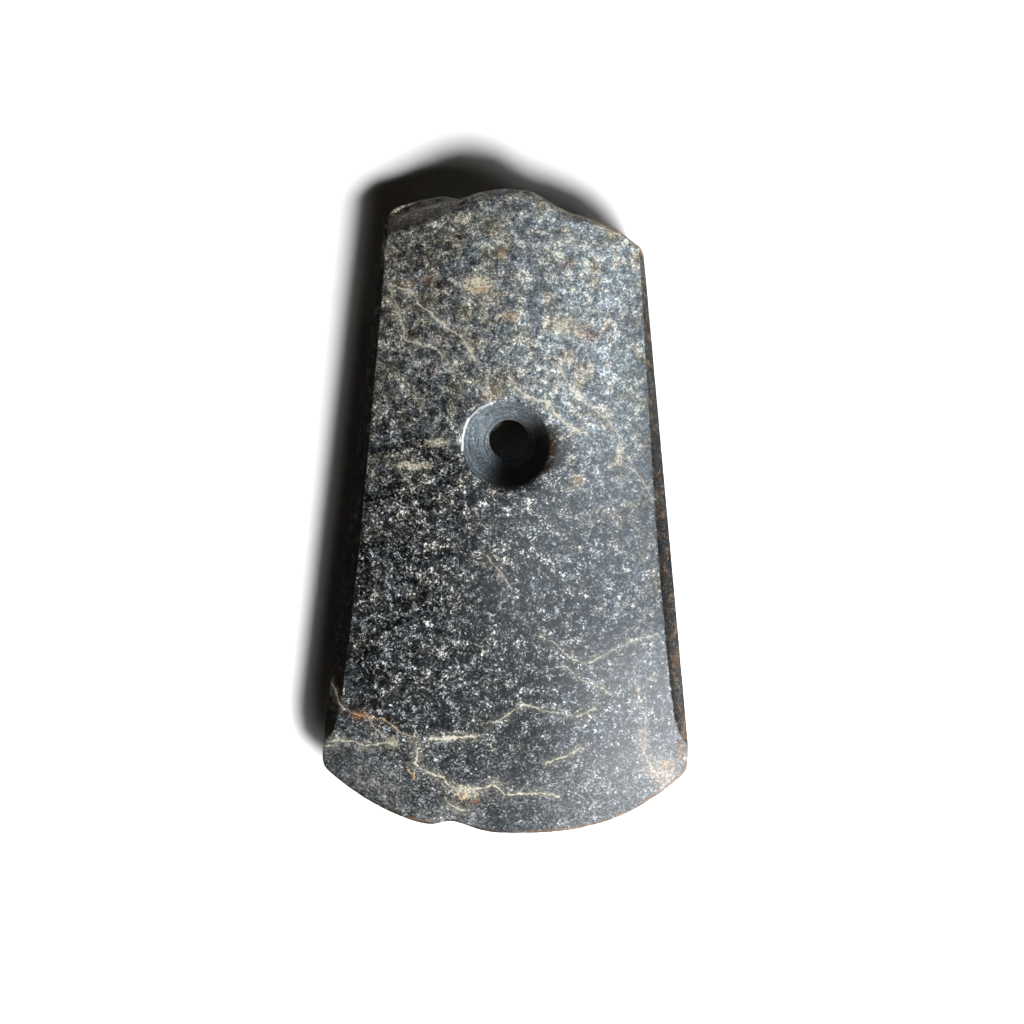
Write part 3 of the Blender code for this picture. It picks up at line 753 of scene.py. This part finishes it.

    # The drilled wall: paler, with uneven rings left by the drill, and darkened as painted shade on its
    # upper side, on the side away from the lamps and in the back funnel
    axis = ((hole["shift"] - hole["leanLeft"] / 2) * 1000,
            (buttY() - hole["fromButt"] - hole["lean"] / 2) * 1000, 0.0)
    arm = g.vector("SUBTRACT", g.vector("MULTIPLY", mm, (1.0, 1.0, 0.0)), axis)
    radius = g.vector("LENGTH", arm, out=1)
    ringNoise = g.noise(g.joined(radius * 2.2, z * 0.6, mottle), 1.0, 3, 0.7)
    ringMark = g.step(0.5 * ringNoise + 0.5 * soft, 0.36, 0.62)
    wall = g.mixed(ringMark, linear("groove"), linear("drilled"))
    onWall = g.step(drilled, 0.0, 0.12)
    colour = g.mixed(onWall * g.step(grain, -1.4, 1.0, 0.9, 0.65), colour, wall)
    # painted shade: the upper side of the wall is darkened
    upper = g.vector("DOT_PRODUCT", arm, (0.3, 0.95, 0.0), out=1) / radius
    colour = g.scaled(colour, 1 - onWall * g.step(upper, 0.2, 0.9, 0.0, look["wallShade"]))
    shaded = g.vector("DOT_PRODUCT", arm, (0.75, -0.66, 0.0), out=1) / radius
    # partly stain, partly painted shade: the face just outside the rim darkens irregularly on the side away
    # from the lamps
    rimGap = radius + 3.0 * (cloud - 0.5) + 2.0 * (soft - 0.5)
    rimStainShade = g.step(rimGap, *look["rimStainShadeEnd"], look["rimStainShade"], 0.0) * g.step(shaded, 0.1, 0.7)
    colour = g.mixed(rimStainShade * g.step(z, *zones["frontOnly"]), colour, linear("stainAndShade"))
    # painted shade: the wall on the side away from the lamps, and the whole back funnel, take the stain
    # tone
    paintedWallShade = g.step(shaded + 0.8 * (cloud - 0.5), -0.1, 0.5) * look["wallPaintedShade"]
    paintedWallShade = onWall * paintedWallShade.most(g.step(z, *zones["backFunnel"], 1.0, 0.0))
    colour = g.mixed(paintedWallShade, colour, linear("stainAndShade"))
    plan = g.joined(x, y, 0.0)
    # painted highlight, partly white scuffs, on the left rim
    for width, strength, points in rimScuffHighlights:
        gap = pathDistance(g, plan, points) + 0.5 * (cloud - 0.5)
        scuffHighlight = g.step(gap, width * 0.3, width, strength, 0.0)
        colour = g.mixed(scuffHighlight * g.step(z, *zones["frontOnly"]), colour, linear("white"))

    # The rough break, with a thin tan rim along its right part
    colour = g.mixed(broken * g.step(blotch, 0.38, 0.6) * 0.25, colour, linear("fresh"))
    colour = g.mixed(broken * g.step(blotch + 0.4 * (soft - 0.5), 0.54, 0.62) * 0.6, colour, linear("tan"))
    keen = g.step(inset, 0.03, 0.10, 1.0, 0.0) * g.step(y, *zones["keenTop"], 1.0, 0.0)
    keen = keen * g.step(blotch + 0.4 * (soft - 0.5), 0.40, 0.52, 0.0, 0.75)
    colour = g.mixed(keen, colour, g.mixed(rightwards, linear("stainAndShade"), linear("ochre")))
    # Darker and matte low on the break's outer edge, below the middle height
    foot = broken * g.step(inset, 0.02, 0.12, 1.0, 0.0) * g.step(z, *zones["footHeight"], 1.0, 0.0)
    colour = g.mixed(foot * 0.8, colour, linear("patinaAndShade"))
    rim = broken * g.step(inset, 0.02, 0.07, 1.0, 0.0) * g.step(z, *zones["tanRimHeight"])
    rim = rim * g.step(x, *zones["tanRim"])
    colour = g.mixed(rim * g.step(blotch, 0.38, 0.5, 0.2, 0.8), colour, linear("tan"))
    g.tree.links.new(colour.socket, shader.inputs["Base Color"])

    shader.inputs["Specular IOR Level"].default_value = look["sheen"]
    rough = look["polish"] + 0.10 * (mottle - 0.5) + 0.06 * cloud + look["facetRough"] * facet
    rough = rough + g.step(y, *zones["roughFoot"], look["bevelRough"], 0.0)
    rough = rough + look["drilledRough"] * g.step(drilled, 0.0, 0.1) + look["brokenRough"] * broken
    rough = rough.least(look["roughest"])
    g.tree.links.new(rough.socket, shader.inputs["Roughness"])
    pits = g.step(g.noise(mm, look["pitScale"], 4, 0.7), 0.30, 0.40)
    relief = 0.5 * soft + 0.3 * crystal + 0.8 * pits + 0.8 * broken * blotch
    relief = relief + ringNoise * onWall * 2.5
    bump = g.wire("ShaderNodeBump", None, {
        "Strength": look["bump"], "Distance": look["bumpDepth"], "Height": relief})
    g.tree.links.new(bump.socket, shader.inputs["Normal"])

    # Crusted and stained places, and those with painted shade, don't shine
    dull = g.wire("ShaderNodeBsdfPrincipled", None, {
        "Base Color": colour, "Roughness": look["crustRough"],
        "Specular IOR Level": look["crustSheen"], "Normal": bump})
    matte = facetPatinaShade.most(paintedWallShade).most(broken * 0.3).most(foot)
    surface = g.wire("ShaderNodeMixShader", None, {0: matte, 1: Wire(g, shader.outputs[0]), 2: dull})
    g.tree.links.new(surface.socket, material.node_tree.nodes["Material Output"].inputs["Surface"])
    return material


def softBox(name, away, size, watts):
    data = bpy.data.lights.new(name, "AREA")
    data.shape = "ELLIPSE"
    data.size, data.size_y = size
    data.energy = watts
    lamp = bpy.data.objects.new(name, data)
    lamp.location = away
    lamp.rotation_euler = Vector(away).to_track_quat("Z", "Y").to_euler()
    bpy.context.scene.collection.objects.link(lamp)
    return lamp


# The camera looks straight down, as in the picture: frame width, and where its middle lies
view = {"frameWidth": 0.2547, "middle": (0.00168, -0.0001), "planeHeight": 0.0094, "lens": 95, "sensor": 36}
# Lamps: how far away and which way, their two sizes, all in metres, and watts
light = {
    "key": ((0.35, -0.44, 0.54), (0.34, 0.24), 14.0),
    "spill": ((0.35, -0.44, 0.54), (0.85, 0.24), 3.0),
    "strip": ((0.34, 0.0, 0.92), (0.20, 1.0), 3.5), "stripTurn": 12,  # in degrees
    "stripTint": (0.82, 0.93, 1.0),
    "world": 0.009, "worldTint": (1.0, 0.88, 0.78, 1.0),
}


def makeCamera():
    data = bpy.data.cameras.new("camera")
    data.lens = view["lens"]
    data.sensor_width = view["sensor"]
    camera = bpy.data.objects.new("camera", data)
    distance = view["frameWidth"] * view["lens"] / view["sensor"]
    camera.location = (*view["middle"], view["planeHeight"] + distance)
    bpy.context.scene.collection.objects.link(camera)
    bpy.context.scene.camera = camera


ground = {"size": 6.0, "paper": (0.9, 0.9, 0.9, 1), "roughness": 0.9, "gloss": 0.0}


def makeFloor():
    bpy.ops.mesh.primitive_plane_add(size=ground["size"])
    floor = bpy.context.object
    floor.name = "floor"
    material = bpy.data.materials.new("palePaper")
    material.use_nodes = True
    shader = material.node_tree.nodes["Principled BSDF"]
    shader.inputs["Base Color"].default_value = ground["paper"]
    shader.inputs["Roughness"].default_value = ground["roughness"]
    shader.inputs["Specular IOR Level"].default_value = ground["gloss"]
    floor.data.materials.append(material)


points = outlinePoints()
middle = (points.min(0) + points.max(0)) / 2
print("outline: %d points, %.1f by %.1f mm" % (len(points), *(np.ptp(points, 0) * 1000)))
guide = outlineGuide(points)
stone = speckledStone()
print("stone: %d shader nodes" % len(stone.node_tree.nodes))
tree, values = stoneTree(stone, middle)
values["Outline"] = guide
axeHead = bakedPiece("axeHead", tree, values)
bpy.data.objects.remove(guide)
print("axe head: %d faces" % len(axeHead.data.polygons))
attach(axeHead, "root")
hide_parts("axe_head")

makeFloor()
makeCamera()
key = softBox("key", *light["key"])
key.visible_glossy = False        # its mirror image would blow out the face from the side
softBox("spill", *light["spill"])
strip = softBox("strip", *light["strip"])
strip.visible_diffuse = False     # only the sheen at the lower right
strip.data.color = light["stripTint"]
strip.rotation_euler.rotate_axis("Z", math.radians(light["stripTurn"]))
world = bpy.data.worlds.new("studio")
world.use_nodes = True
world.node_tree.nodes["Background"].inputs["Color"].default_value = light["worldTint"]
world.node_tree.nodes["Background"].inputs["Strength"].default_value = light["world"]
bpy.context.scene.world = world
bpy.context.scene.view_settings.view_transform = "Standard"
print("stage: floor, camera, lamps and world")
